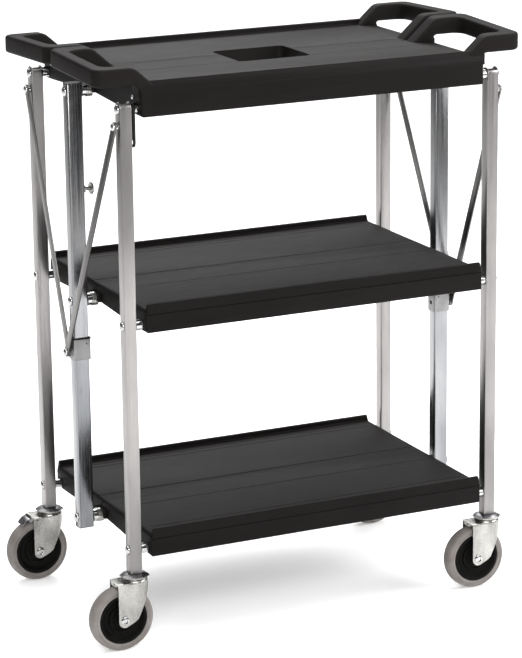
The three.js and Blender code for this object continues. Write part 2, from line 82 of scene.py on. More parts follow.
# All sizes below are in millimetres.
SHELF = {
    "end": 286.0,
    "side": 196.0,
    "split": 0.8,
    "wall": 4.0,
    "taper_y": 12.0,
    "taper_drop": 2.4,
    "low_corner": 4.5,
    "plan_corner": 3.5,
}
LOWER = {
    "drop": 11.0,
    "deck": 24.0,
    "lip": 33.0,
    "lip_width": 7.0,
    "lip_inset": 1.8,
    "lip_slant": 2.7,
    "step": 17.0,
    "end_run": 5.5,
    "end_fall": 9.5,
}
TOP = {
    "drop": 12.0,
    "deck": 31.0,
    "rim": 40.0,
    "rim_in": 181.0,
    "shoulder": 25.0,
    "shoulder_wall": 8.0,
    "end_run": 3.0,
    "end_fall": 5.0,
}
SHOULDER_ARC = {"inset": 36.9, "drop": 13.6, "radius": 38.0, "start": 159, "end": 133}
RIB = {"pitch": 94.0, "thickness": 2.6, "height": 9.0, "middle_y": 98.0}
LAP = {"reach": 20.0, "thickness": 2.2, "gap": 0.3, "top_half_length": 245.0}
GROOVE = {"half": 0.9, "depth": 1.0, "end_gap": 17.0}
MIDDLE_GROOVE = -50.0  # along the front half only
LIP_GROOVES = (-158.0, -171.0)  # along both halves of the lower shelves
HOLE = {"half_length": 61.5, "half_width": 53.5, "depth": 29.0, "wall": 3.5, "corner": 9.0}
HANDLE = {
    "reach": 356.3,
    "root": 259.0,
    "root_depth": 2.5,
    "level": 294.0,
    "top": 897.0,
    "climb": 6.5,
    "underside": 870.0,
    "heel": 853.0,
    "heel_x": 290.0,
    "bar": 22.0,
    "outer_y": 191.0,
    "inner_y": 3.0,
    "arm_y": 166.0,
    "centre_arm_y": 31.0,
    "corner": 18.0,
    "inner_corner": 15.0,
    "edge": 4.6,
    "crest": 22.0,
    "fillet": 5.0,
}
PIN = {"radius": 4.0, "head": 7.2, "dome": 4.3, "spacer": 8.0, "inner_head": 7.0}
END_RIVET = {"radius": 3.6, "height": 2.0, "y": -163.0, "z": 14.0}  # Z from the pivots
LUG = {"radius": 11.0, "thickness": 4.0, "root_y": 19.0, "rise": 9.0, "gap": 0.3}


# ---- Meshes ----

PLANES = {"x": (1, 2, 0), "y": (0, 2, 1), "z": (0, 1, 2)}  # an outline's two axes, then its depth


def to_object(name, shape):
    bmesh.ops.recalc_face_normals(shape, faces=shape.faces)
    mesh = bpy.data.meshes.new(name)
    shape.to_mesh(mesh)
    shape.free()
    obj = bpy.data.objects.new(name, mesh)
    bpy.context.scene.collection.objects.link(obj)
    return obj


def arc(x, y, radius, start, end, steps=5):
    """Points on an arc, in degrees, both ends included."""
    turns = [math.radians(start + (end - start) * i / steps) for i in range(steps + 1)]
    return [(x + radius * math.cos(t), y + radius * math.sin(t)) for t in turns]


def prism(outline, axis, low, high):
    """A closed prism of an outline drawn in the plane across axis."""
    a, b, c = PLANES[axis]
    shape = bmesh.new()

    def ring(depth):
        corners = []
        for point in outline:
            place = [0.0, 0.0, 0.0]
            place[a], place[b], place[c] = point[0], point[1], depth
            corners.append(shape.verts.new(place))
        return corners

    first, last = ring(low), ring(high)
    shape.faces.new(first)
    shape.faces.new(reversed(last))
    for i in range(len(outline)):
        j = (i + 1) % len(outline)
        shape.faces.new((first[i], last[i], last[j], first[j]))
    return to_object("prism", shape)


def box(x0, x1, y0, y1, z0, z1):
    return prism([(x0, y0), (x1, y0), (x1, y1), (x0, y1)], "z", z0, z1)


def rounded_box(x0, x1, y0, y1, z0, z1, corner):
    outline = [
        *arc(x1 - corner, y1 - corner, corner, 0, 90),
        *arc(x0 + corner, y1 - corner, corner, 90, 180),
        *arc(x0 + corner, y0 + corner, corner, 180, 270),
        *arc(x1 - corner, y0 + corner, corner, 270, 360),
    ]
    return prism(outline, "z", z0, z1)


def centred_box(half_x, half_y, z0, z1, corner):
    return rounded_box(-half_x, half_x, -half_y, half_y, z0, z1, corner)


def lathe(profile, axis="z", centre=(0, 0, 0), sides=32, turn=0.0):
    """Turns a profile of (radius, height) points round axis. Its ends close on the axis."""
    a, b, c = PLANES[axis]
    shape = bmesh.new()
    rings = []
    for radius, height in profile:
        ring = []
        for i in range(sides if radius > 0 else 1):
            angle = 2 * math.pi * i / sides + turn
            place = list(centre)
            place[a] += radius * math.cos(angle)
            place[b] += radius * math.sin(angle)
            place[c] += height
            ring.append(shape.verts.new(place))
        rings.append(ring)
    for low, high in zip(rings, rings[1:]):
        for i in range(sides):
            j = (i + 1) % sides
            corners = [low[i % len(low)], low[j % len(low)], high[j % len(high)], high[i % len(high)]]
            unique = list(dict.fromkeys(corners))
            if len(unique) > 2:
                shape.faces.new(unique)
    if len(rings[0]) > 1 and rings[0][0].co == rings[-1][0].co:
        bmesh.ops.remove_doubles(shape, verts=rings[0] + rings[-1], dist=1e-4)
    return to_object("lathe", shape)


def rod(radius, low, high, axis, centre=(0, 0, 0), sides=24, edge=0.4):
    """A rod with a small bevel at both ends, from low to high along axis."""
    profile = [
        (0, low),
        (radius - edge, low),
        (radius, low + edge),
        (radius, high - edge),
        (radius - edge, high),
        (0, high),
    ]
    return lathe(profile, axis, centre, sides)


def settle(obj):
    """Turns the object's modifiers into its mesh."""
    seen = obj.evaluated_get(bpy.context.evaluated_depsgraph_get())
    mesh = bpy.data.meshes.new_from_object(seen)
    obj.modifiers.clear()
    old = obj.data
    obj.data = mesh
    bpy.data.meshes.remove(old)
    return obj


def combine(obj, tools, operation):
    for tool in tools:
        modifier = obj.modifiers.new("boolean", "BOOLEAN")
        modifier.operation = operation
        modifier.solver = "EXACT"
        modifier.object = tool
        settle(obj)
        bpy.data.objects.remove(tool)
    return obj


def union(obj, *tools):
    return combine(obj, tools, "UNION")


def cut(obj, *tools):
    return combine(obj, tools, "DIFFERENCE")


def common(obj, *tools):
    return combine(obj, tools, "INTERSECT")


def joined(obj, *others):
    """Several bodies in one mesh, left as they are."""
    shape = bmesh.new()
    shape.from_mesh(obj.data)
    for other in others:
        shape.from_mesh(other.data)
        bpy.data.objects.remove(other)
    shape.to_mesh(obj.data)
    shape.free()
    return obj


def soften(obj, width, segments=3, angle=30):
    """Rounds every edge sharper than angle."""
    modifier = obj.modifiers.new("bevel", "BEVEL")
    modifier.width = width
    modifier.segments = segments
    modifier.limit_method = "ANGLE"
    modifier.angle_limit = math.radians(angle)
    modifier.miter_outer = "MITER_ARC"
    return settle(obj)


def soften_where(obj, width, segments, test, angle=30, clamp=True):
    """Rounds the edges sharper than angle whose middle passes the test."""
    shape = bmesh.new()
    shape.from_mesh(obj.data)
    shape.normal_update()
    limit = math.radians(angle)
    edges = []
    for edge in shape.edges:
        centre = (edge.verts[0].co + edge.verts[1].co) / 2
        if len(edge.link_faces) == 2 and edge.calc_face_angle() > limit and test(centre):
            edges.append(edge)
    bmesh.ops.bevel(
        shape, geom=edges, offset=width, segments=segments, profile=0.5, affect="EDGES", clamp_overlap=clamp
    )
    shape.to_mesh(obj.data)
    shape.free()
    return obj


def mirrored(obj, x=False, y=False):
    """Mirrors a mesh about the local axes, and keeps its faces outwards."""
    scale = Vector((-1 if x else 1, -1 if y else 1, 1))
    obj.data.transform(Matrix.Diagonal((*scale, 1)))
    if x != y:
        obj.data.flip_normals()
    return obj


def fit(obj, name, place, body, slot, material, replaces=()):
    """Names a finished shape, sets it in metres at place, and says what it rides on and stands for."""
    obj.name = name
    obj.data.name = name
    obj.data.transform(Matrix.Translation(Vector(place)) @ Matrix.Scale(MM, 4))
    obj.data.materials.clear()
    obj.data.materials.append(material)
    for polygon in obj.data.polygons:
        polygon.use_smooth = True
    obj.data.set_sharp_from_angle(angle=math.radians(SMOOTH_ANGLE))
    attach(obj, body)
    if replaces:
        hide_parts(*replaces)


def fit_rows(rows, name, place, is_left=False, is_rear=False):
    """Fits rows of (shape, label, body, slot, material, replaced nodes if any), mirrored as asked."""
    for shape, label, *rest in rows:
        fit(mirrored(shape, is_left, is_rear), f"{label}_{name}", place, *rest)


# ---- Materials ----


def add(tree, kind, inputs=None, **settings):
    """Adds a node. An input is a value, or another node's output to link."""
    made = tree.nodes.new(kind)
    for key, value in settings.items():
        setattr(made, key, value)
    for key, value in (inputs or {}).items():
        if isinstance(value, bpy.types.NodeSocket):
            tree.links.new(value, made.inputs[key])
        else:
            made.inputs[key].default_value = value
    return made


def noise(tree, scale, detail=4.0, stretch=(1, 1, 1)):
    place = add(tree, "ShaderNodeTexCoord").outputs["Object"]
    mapped = add(tree, "ShaderNodeMapping", {"Vector": place, "Scale": stretch})
    inputs = {"Vector": mapped.outputs["Vector"], "Scale": scale, "Detail": detail}
    return add(tree, "ShaderNodeTexNoise", inputs).outputs["Fac"]


def spread(tree, value, low, high, start=0.3, end=0.7):
    inputs = {"Value": value, "From Min": start, "From Max": end, "To Min": low, "To Max": high}
    return add(tree, "ShaderNodeMapRange", inputs).outputs["Result"]


def blend_colours(tree, value, dark, light):
    ramp = add(tree, "ShaderNodeValToRGB", {"Fac": value})
    ramp.color_ramp.elements[0].position = 0.35
    ramp.color_ramp.elements[1].position = 0.68
    ramp.color_ramp.elements[0].color = (*dark, 1)
    ramp.color_ramp.elements[1].color = (*light, 1)
    return ramp.outputs["Color"]


def bumps(tree, layers):
    """Stacks bump layers of (height, strength, distance)."""
    normal = None
    for height, strength, distance in layers:
        inputs = {"Height": height, "Strength": strength, "Distance": distance}
        if normal is not None:
            inputs["Normal"] = normal
        normal = add(tree, "ShaderNodeBump", inputs).outputs["Normal"]
    return normal


def surface(name, metallic=0.0, specular=0.5):
    material = bpy.data.materials.new(name)
    material.use_nodes = True
    shader = material.node_tree.nodes["Principled BSDF"]
    shader.inputs["Metallic"].default_value = metallic
    shader.inputs["Specular IOR Level"].default_value = specular
    return material, material.node_tree, shader


def dress(tree, shader, colour, roughness, layers):
    tree.links.new(colour, shader.inputs["Base Color"])
    tree.links.new(roughness, shader.inputs["Roughness"])
    tree.links.new(bumps(tree, layers), shader.inputs["Normal"])


def moulded_plastic(name, dark, light, rough, specular):
    """Satin moulded plastic with a fine pebble, faint flow streaks along X and rubbed edges."""
    material, tree, shader = surface(name, specular=specular)
    grain = noise(tree, 520, 3)
    fine = noise(tree, 1500, 2)
    flow = noise(tree, 14, 6, (0.16, 1, 1))
    scuffs = noise(tree, 210, 4, (0.12, 1, 1))
    cloud = noise(tree, 9, 5)
    mixed = add(tree, "ShaderNodeMath", {0: flow, 1: cloud}, operation="ADD")
    half = add(tree, "ShaderNodeMath", {0: mixed.outputs["Value"], 1: 0.5}, operation="MULTIPLY")
    colour = blend_colours(tree, half.outputs["Value"], dark, light)
    roughness = spread(tree, scuffs, rough - 0.025, rough + 0.03)
    layers = [(grain, 0.16, 0.0006), (fine, 0.10, 0.0003), (scuffs, 0.018, 0.0002)]
    dress(tree, shader, colour, roughness, layers)
    return material


def drawn_aluminium(name, dark, light, rough, lines=0.10):
    """Aluminium tube with lines drawn along Z and soft cloudy tarnish."""
    material, tree, shader = surface(name, metallic=1.0)
    streaks = noise(tree, 420, 3, (1, 1, 0.012))
    fine = noise(tree, 1400, 2, (1, 1, 0.01))
    cloud = noise(tree, 11, 4, (1, 1, 0.35))
    colour = blend_colours(tree, cloud, dark, light)
    roughness = spread(tree, streaks, rough - 0.06, rough + 0.10)
    layers = [(streaks, lines, 0.0004), (fine, lines * 0.6, 0.0002)]
    dress(tree, shader, colour, roughness, layers)
    return material


def plated_steel(name, dark, light, rough, dents=0.05):
    """Bright plate with a faint spangle and handling marks."""
    material, tree, shader = surface(name, metallic=1.0)
    spangle = noise(tree, 260, 4)
    smear = noise(tree, 60, 6, (1, 0.4, 0.4))
    colour = blend_colours(tree, smear, dark, light)
    roughness = spread(tree, spangle, rough - 0.05, rough + 0.09)
    dress(tree, shader, colour, roughness, [(smear, dents, 0.0006), (spangle, dents, 0.0002)])
    return material


def tyre_rubber(name, dark, light):
    """Warm grey non-marking rubber with dust and fine scuffs."""
    material, tree, shader = surface(name, specular=0.35)
    dust = noise(tree, 45, 6)
    grain = noise(tree, 900, 3)
    scuffs = noise(tree, 190, 4, (1, 0.2, 1))
    colour = blend_colours(tree, dust, dark, light)
    roughness = spread(tree, scuffs, 0.55, 0.78)
    dress(tree, shader, colour, roughness, [(grain, 0.12, 0.0004), (scuffs, 0.08, 0.0004)])
    return material


PLASTIC = moulded_plastic("shelf_plastic", (0.0043, 0.0034, 0.0032), (0.0064, 0.0054, 0.0051), 0.52, 0.068)
# The handles take a lighter copy of the shelf plastic: painted light on the handles, not a different plastic.
LIT_HANDLE_PLASTIC = moulded_plastic(
    "handle_plastic_painted_light", (0.0075, 0.0063, 0.006), (0.0105, 0.0092, 0.0088), 0.52, 0.04
)
CAP_PLASTIC = moulded_plastic("cap_plastic", (0.005, 0.005, 0.005), (0.008, 0.008, 0.008), 0.46, 0.2)
HUB_PLASTIC = moulded_plastic("hub_plastic", (0.003, 0.0027, 0.0025), (0.0048, 0.0045, 0.0042), 0.54, 0.05)
# The braces take a darker copy of the leg aluminium: painted shade on the braces, not a different metal.
SHADED_BRACE_METAL = drawn_aluminium("brace_aluminium_painted_shade", (0.105, 0.102, 0.10), (0.19, 0.185, 0.183), 0.34)
LEG_METAL = drawn_aluminium("leg_aluminium", (0.198, 0.19, 0.188), (0.325, 0.313, 0.308), 0.32)
POST_METAL = drawn_aluminium("post_aluminium", (0.175, 0.182, 0.196), (0.35, 0.35, 0.355), 0.22, 0.05)
COLLAR_METAL = plated_steel("collar_metal", (0.22, 0.22, 0.22), (0.29, 0.287, 0.287), 0.46)
ZINC = plated_steel("zinc_steel", (0.275, 0.27, 0.255), (0.415, 0.408, 0.388), 0.28)
# A darker copy of the zinc for the race's top cone and the brake pedal: painted shade, not a different
# plating.
SHADED_ZINC = plated_steel("zinc_painted_shade", (0.16, 0.16, 0.165), (0.30, 0.30, 0.31), 0.30)
RIVET = plated_steel("rivet_steel", (0.40, 0.40, 0.40), (0.54, 0.54, 0.535), 0.17, 0.02)
RUBBER = tyre_rubber("tyre_rubber", (0.142, 0.127, 0.118), (0.195, 0.179, 0.17))


# ---- Rivet heads ----


def dome(radius, height, start, steps=5):
    """The profile of a rivet's domed head, from its rim at start to its crown."""
    points = []
    for i in range(steps + 1):
        turn = math.radians(90 * i / steps)
        points.append((radius * math.cos(turn), start + 0.5 + (height - 0.5) * math.sin(turn)))
    points[-1] = (0, start + height)
    return [(radius - 0.3, start), *points]


# ---- Shelf halves ----
# Drawn as the front half, with Z from its pivots. The rear half is its mirror image.


def lower_outline():
    side, split = SHELF["side"], SHELF["split"]
    deck, lip, width, step = LOWER["deck"], LOWER["lip"], LOWER["lip_width"], LOWER["step"]
    low = -LOWER["drop"]
    return [
        *arc(-side + 2.5, low + 1.5, 1.5, 270, 180, 3),
        (-side + 1.2, step - 0.6),
        (-side + 2.0, step),
        (-side + 2.0, step + 0.8),
        (-side, step + 1.6),
        *arc(-side + 3, lip - 3, 3, 180, 90),
        *arc(-side + width - 2.5, lip - 2.5, 2.5, 90, 0),
        *arc(-side + width + 2.5, deck + 2.5, 2.5, 180, 270),
        *arc(-split - 1.5, deck - 1.5, 1.5, 90, 0, 3),
        (-split, 0),
        (-SHELF["taper_y"], -SHELF["taper_drop"]),
    ]


def top_outline():
    side, split = SHELF["side"], SHELF["split"]
    deck, rim, shoulder = TOP["deck"], TOP["rim"], TOP["shoulder"]
    bend_y, bend_z = -side + SHOULDER_ARC["inset"], shoulder - SHOULDER_ARC["drop"]
    low = -TOP["drop"]
    return [
        *arc(-side + 1.5, low + 1.5, 1.5, 270, 180, 3),
        (-side, shoulder - 1.2),
        (-side + 0.9, shoulder),
        *arc(bend_y, bend_z, SHOULDER_ARC["radius"], SHOULDER_ARC["start"], SHOULDER_ARC["end"], 6),
        *arc(-TOP["rim_in"] - 2.5, rim - 2.5, 2.5, 120, 0, 5),
        *arc(-TOP["rim_in"] + 2.5, deck + 2.5, 2.5, 180, 270, 4),
        *arc(-split - 1.5, deck - 1.5, 1.5, 90, 0, 3),
        (-split, 0),
        (-SHELF["taper_y"], -SHELF["taper_drop"]),
    ]


def under_pockets(deck, inner_side):
    """The open underside: one shallow relief, then a pocket between each pair of ribs."""
    end = SHELF["end"] - SHELF["wall"]
    near = -SHELF["split"] - SHELF["wall"]
    roof = deck - SHELF["wall"]
    relief = box(-end, end, -inner_side, near, -CAVITY_DEPTH, roof - RIB["height"])
    half = RIB["thickness"] / 2
    pockets = []
    count = round(2 * end / RIB["pitch"])
    rows = [(-inner_side, -RIB["middle_y"] - half), (-RIB["middle_y"] + half, near)]
    for i in range(count):
        x0 = -end + 2 * end * i / count + (half if i else 0)
        x1 = -end + 2 * end * (i + 1) / count - (half if i < count - 1 else 0)
        for y0, y1 in rows:
            pockets.append(box(x0, x1, y0, y1, -CAVITY_DEPTH, roof))
    return relief, joined(*pockets)


def deck_grooves(deck, rows):
    """Shallow V grooves along X that stop short of the ends."""
    half, depth = GROOVE["half"], GROOVE["depth"]
    reach = SHELF["end"] - GROOVE["end_gap"]
    grooves = []
    for y in rows:
        left, right = y - half, y + half
        outline = [(left, deck + 1), (left, deck), (y, deck - depth), (right, deck), (right, deck + 1)]
        grooves.append(prism(outline, "x", -reach, reach))
    return joined(*grooves)


def at_both_ends(outline, y0, y1):
    """The same tool at the shelf's right and left ends, from an outline of (x, z) at the right."""
    return joined(*(prism([(side * x, z) for x, z in outline], "y", y0, y1) for side in (-1, 1)))


def end_shoulders(deck, y0, y1, run, fall):
    """Cutting tools that round the deck over at both ends of the shelf, between y0 and y1."""
    end = SHELF["end"]
    outline = [
        (end - run, deck + 8),
        (end - run, deck),
        (end - 0.55 * run, deck - 0.12 * fall),
        (end - 0.2 * run, deck - 0.42 * fall),
        (end, deck - fall),
        (end + 8, deck - fall),
        (end + 8, deck + 8),
    ]
    return at_both_ends(outline, y0, y1)


def rounded_foot(half, low, high, corner):
    """An outline with two rounded lower corners and square upper ones."""
    left, right, centre = -half + corner, half - corner, low + corner
    lower = [*arc(left, centre, corner, 180, 270, 4), *arc(right, centre, corner, 270, 360, 4)]
    return [(-half, high), *lower, (half, high)]


def round_corners(shell, low):
    """Rounds the shelf's outer corners in plan, and its lower corners as seen from the front."""
    end, side = SHELF["end"], SHELF["side"]
    high = low + 2 * CAVITY_DEPTH
    front = rounded_foot(end, low, high, SHELF["low_corner"])
    plan = rounded_foot(end, -side, 1, SHELF["plan_corner"])
    return common(shell, prism(front, "y", -side - 1, 1), prism(plan, "z", low - 1, high))


def lip_ends():
    """Cutting tools that set the lip back from the shelf's ends, with a slope."""
    end, step, lip = SHELF["end"], LOWER["step"] + 2.5, LOWER["lip"]
    foot = end - LOWER["lip_inset"]
    outline = [(end + 4, step), (foot, step), (foot - LOWER["lip_slant"], lip + 2), (end + 4, lip + 2)]
    return at_both_ends(outline, -SHELF["side"] - 3, -SHELF["side"] + LOWER["lip_width"] + 1.6)


def lug_faces(outer):
    """A lug's inner and outer faces in X. The rear half's lugs are the outer layer."""
    inner = SHELF["end"] + LUG["gap"] + (LUG["thickness"] + LUG["gap"] if outer else 0)
    return inner, inner + LUG["thickness"]


def centre_lug(side, outer):
    end = SHELF["end"]
    inner, face = lug_faces(outer)
    low, rise, radius = -SHELF["taper_drop"], LUG["rise"], LUG["radius"]
    taper = -SHELF["taper_y"]
    start = taper if outer else -SHELF["split"]
    side_edge = [(-LUG["root_y"], low), (-LUG["root_y"], rise)]
    root = list(dict.fromkeys([*side_edge, (start, radius), (start, low if outer else 0), (taper, low)]))
    bridge = [*side_edge, (0, radius), (0, 0), (taper, low)]
    lug = union(prism(bridge, "x", inner + 0.5, face - 0.5), prism(root, "x", end - 1, face - 0.5))
    soften_where(lug, 0.8, 2, lambda p: p.x > end + 0.5)
    return lug if side > 0 else mirrored(lug, x=True)


def hinge_disc(outer):
    """Steel disc on a shelf half's lug, with a raised rim and a punched middle."""
    inner, face = lug_faces(outer)
    radius = LUG["radius"]
    profile = [
        (PIN["radius"] + 0.3, inner),
        (radius - 0.5, inner),
        (radius, inner + 0.5),
        (radius, face - 0.6),
        (radius - 0.6, face),
        (radius - 2.0, face),
        (radius - 2.6, face - 0.7),
        (PIN["radius"] + 0.3, face - 0.7),
        (PIN["radius"] + 0.3, inner),
    ]
    return lathe(profile, "x", sides=40)


def end_rivet():
    """Small rivet through the top shelf's end wall, over the leg's pivot."""
    rivet = [(0, SHELF["end"] - 1), *dome(END_RIVET["radius"], END_RIVET["height"], SHELF["end"] + 0.05)]
    return lathe(rivet, "x", (0, END_RIVET["y"], END_RIVET["z"]), 24)


def handle_slope():
    """How steeply the arms climb from the deck, in degrees."""
    rise = HANDLE["top"] - PIVOT_Z["top"] / MM - TOP["deck"]
    return math.degrees(math.atan2(rise, HANDLE["level"] - HANDLE["root"]))


def handle_root():
    """Where the arms start inside the deck, and how deep."""
    depth = HANDLE["root_depth"] + HANDLE["climb"]
    return HANDLE["root"] - depth / math.tan(math.radians(handle_slope())), TOP["deck"] - depth


def handle_plan():
    h = HANDLE
    start = handle_root()[0]
    corner, reach, bar = h["corner"], h["reach"], h["reach"] - h["bar"]
    inner_corner = h["inner_corner"]
    return [
        (start, -h["outer_y"]),
        *arc(reach - corner, -h["outer_y"] + corner, corner, 270, 360, 7),
        *arc(reach - corner, -h["inner_y"] - corner, corner, 0, 90, 7),
        (start, -h["inner_y"]),
        (start, -h["centre_arm_y"]),
        *arc(bar - inner_corner, -h["centre_arm_y"] - inner_corner, inner_corner, 90, 0, 5),
        *arc(bar - inner_corner, -h["arm_y"] + inner_corner, inner_corner, 0, -90, 5),
        (start, -h["arm_y"]),
    ]


def handle_profile():
    """Side view of the arms: up a slope with a soft crest, along the level top, and back to the heel."""
    h = HANDLE
    pivot = PIVOT_Z["top"] / MM
    top, under, heel = h["top"] - pivot, h["underside"] - pivot, h["heel"] - pivot
    start, base = handle_root()
    slope, crest, fillet = handle_slope(), h["crest"], h["fillet"]
    lead = crest * math.tan(math.radians(slope / 2))
    return [
        (start, base),
        *arc(h["level"] + lead, top - crest, crest, 90 + slope, 90, 6),
        (h["reach"] + 1, top),
        (h["reach"] + 1, under),
        *arc(h["heel_x"] + fillet, under - fillet, fillet, 90, 180, 4),
        (h["heel_x"], heel),
        (SHELF["end"] - 2, heel),
        (SHELF["end"] - 2, base),
    ]


def handle_loop():
    """A D-shaped loop whose top and underside climb from the outer arm to the split."""
    h = HANDLE
    rate = h["climb"] / (h["outer_y"] - h["inner_y"])
    climb = Matrix(((1, 0, 0, 0), (0, 1, 0, 0), (0, rate, 1, rate * h["outer_y"]), (0, 0, 0, 1)))
    sides = prism(handle_profile(), "y", -SHELF["side"], 0)
    sides.data.transform(climb)
    loop = common(prism(handle_plan(), "z", 0, h["top"]), sides)
    low, keep = TOP["deck"] + 0.5, h["root"] + 1
    return soften_where(loop, h["edge"], 4, lambda p: p.z > low and p.x > keep, clamp=False)


def lap_flange(deck, half_length):
    """The front half's thin edge, which laps over the rear half."""
    low, reach = deck - LAP["thickness"], LAP["reach"]
    outline = [
        (-SHELF["wall"], low),
        (reach - 0.4, low),
        (reach, low + 0.4),
        (reach, deck - 0.9),
        (reach - 0.3, deck - 0.3),
        (reach - 0.9, deck),
        (-SHELF["wall"], deck),
    ]
    return prism(outline, "x", -half_length, half_length)


def lap_rebate(deck, half_length):
    """Room for the front half's edge, drawn on the front side like the rest of a half."""
    start = -LAP["reach"] - SHELF["split"]
    low = deck - LAP["thickness"] - LAP["gap"]
    outline = [
        (start - 3.0, deck + 1),
        (start - 1.6, deck),
        (start - 0.9, deck - 0.4),
        (start - 0.4, deck - 1.3),
        (start - 0.4, low),
        (1, low),
        (1, deck + 1),
    ]
    return prism(outline, "x", -half_length, half_length)


def hand_hole_tool(grow, z0, z1):
    return centred_box(HOLE["half_length"] + grow, HOLE["half_width"] + grow, z0, z1, HOLE["corner"] + grow)


def hand_hole_walls():
    deck = TOP["deck"]
    floor = deck - HOLE["depth"]
    walls = cut(hand_hole_tool(HOLE["wall"], floor, deck - 1), hand_hole_tool(0, floor - 5, deck + 5))
    beyond = 2 * HOLE["half_length"]
    return cut(walls, box(-beyond, beyond, -SHELF["split"], beyond, floor - 9, deck + 9))


def shelf_half(level, is_rear):
    is_top = level == "top"
    form = TOP if is_top else LOWER
    deck, end = form["deck"], SHELF["end"]
    lap_end = LAP["top_half_length"] if is_top else end
    shell = prism(top_outline() if is_top else lower_outline(), "x", -end, end)
    round_corners(shell, -form["drop"])
    if not is_top:
        cut(shell, lip_ends())
    soften_where(shell, 0.8, 2, lambda p: abs(p.x) > end - 3)
    if not is_rear:
        union(shell, lap_flange(deck, lap_end))
    lip_inside = -TOP["rim_in"] + 4 if is_top else -SHELF["side"] + LOWER["lip_width"] + 1.5
    cut(shell, end_shoulders(deck, lip_inside, LAP["reach"] + 5, form["end_run"], form["end_fall"]))
    inner_side = SHELF["side"] - SHELF["wall"] - (TOP["shoulder_wall"] if is_top else 0)
    cut(shell, *under_pockets(deck, inner_side))
    rows = [] if is_top else list(LIP_GROOVES)
    if not is_rear:
        rows.append(MIDDLE_GROOVE)
    if rows:
        cut(shell, deck_grooves(deck, rows))
    if is_top:
        union(shell, hand_hole_walls())
        cut(shell, hand_hole_tool(0, -CAVITY_DEPTH, deck + 9))
    if is_rear:
        cut(shell, lap_rebate(deck, lap_end + 0.6))
    for side in (-1, 1):
        union(shell, centre_lug(side, is_rear))
    return shell


def build_shelves():
    for level in LEVELS:
        place = (SHELF_X, 0, PIVOT_Z[level])
        for where in SIDES:
            is_rear = where == "rear"
            node = f"{level}_shelf_{where}"
            deck = (shelf_half(level, is_rear), f"{level}_deck", node, "shelf_plastic", PLASTIC, [node])
            fit_rows([deck], where, place, False, is_rear)
            for end in ENDS:
                rows = [(hinge_disc(is_rear), f"{level}_disc", node, "zinc_steel", ZINC)]
                if level == "top":
                    # painted light: the handles get the lighter copy of the shelf plastic
                    rows.append((handle_loop(), "handle", node, "shelf_plastic", LIT_HANDLE_PLASTIC))
                    rows.append((end_rivet(), "end_rivet", node, "rivet_steel", RIVET))
                fit_rows(rows, f"{where}_{end}", place, end == "left", is_rear)


build_shelves()


# ---- Tubes ----

LEG = {"half": 9.5, "wall": 1.5, "bottom": 120.0, "arch": 11.0, "edge": 1.3}
POST = {"half_x": 12.5, "half_y": 9.5, "wall": 1.6, "bottom": 142.0, "rise": 12.0, "corner": 2.8}


def leg_tube():
    top = PIVOT_Z["top"] / MM + LEG["arch"]
    half = LEG["half"]
    inner = half - LEG["wall"]
    outline = [(-half, LEG["bottom"]), (half, LEG["bottom"]), *arc(0, top - half, half, 0, 180, 14)]
    tube = soften(prism(outline, "x", -half, half), LEG["edge"], 3, 40)
    return cut(tube, box(-inner, inner, -inner, inner, 0, top + 1))


def post_tube():
    top = PIVOT_Z["top"] / MM + POST["rise"]
    x, y, wall = POST["half_x"], POST["half_y"], POST["wall"]
    tube = centred_box(x, y, POST["bottom"], top, POST["corner"])
    bore = centred_box(x - wall, y - wall, 0, top + 1, POST["corner"] - wall)
    return soften(cut(tube, bore), 0.35, 2, 50)


def post_cap(z, upwards):
    """Black plug in a post's end: a thin flange and a ribbed body inside the tube."""
    x, y, inset = POST["half_x"], POST["half_y"], POST["wall"] + 0.2
    sign = 1 if upwards else -1
    flange = centred_box(x, y, *sorted((z, z - 1.2 * sign)), POST["corner"])
    body = centred_box(x - inset, y - inset, *sorted((z, z - 9 * sign)), 1.2)
    return soften(union(flange, body), 0.35, 2, 50)


# ---- Pins (turned along X, with the outer end at +X) ----


def leg_pin(leg_x, carries_latch):
    """Pivot pin of a shelf on a leg: inner head, spacer and outer dome. X is from the leg's axis."""
    wall = SHELF["end"] - SHELF["wall"] - leg_x
    face = LEG["half"] + 0.2
    spacer0, spacer1 = SHELF["end"] + 0.3 - leg_x, -face
    radius, spacer = PIN["radius"], PIN["spacer"]
    profile = [
        (0, wall - 3.6),
        (PIN["inner_head"] - 2.5, wall - 3.4),
        (PIN["inner_head"], wall - 1.6),
        (PIN["inner_head"], wall - 0.3),
        (radius, wall - 0.3),
        (radius, spacer0),
        (spacer - 0.5, spacer0),
        (spacer, spacer0 + 0.5),
    ]
    if carries_latch:
        latch0 = LATCH["inner"] - leg_x - LATCH["gap"]
        latch1 = latch0 + LATCH["thickness"] + 2 * LATCH["gap"]
        profile += [(spacer, latch0), (radius, latch0), (radius, latch1), (spacer - 1, latch1)]
    profile += [
        (spacer, spacer1 - 0.5),
        (spacer - 0.5, spacer1),
        (radius, spacer1),
        (radius, face),
        *dome(PIN["head"], PIN["dome"], face),
    ]
    return lathe(profile, "x", sides=32)


def centre_pin(post_x):
    """Pivot pin of two shelf halves on a post, with a wide turned spacer between them and the post."""
    lugs0 = SHELF["end"] + LUG["gap"] - post_x
    lugs1 = lugs0 + 2 * LUG["thickness"] + 2 * LUG["gap"]
    inner = -POST["half_x"] - 0.3
    face = POST["half_x"] + 0.3
    radius, wide = PIN["radius"], LUG["radius"]
    profile = [
        (0, lugs0),
        (radius, lugs0),
        (radius, lugs1),
        (wide - 0.6, lugs1),
        (wide, lugs1 + 0.6),
        (wide, lugs1 + 2.0),
        (wide - 1.3, lugs1 + 2.5),
        (wide - 1.3, inner - 1.6),
        (wide - 0.4, inner - 1.2),
        (wide - 0.4, inner - 0.3),
        (wide - 0.8, inner),
        (radius, inner),
        (radius, face),
        *dome(PIN["head"], PIN["dome"], face),
    ]
    return lathe(profile, "x", sides=40)


# ---- Braces and collars ----

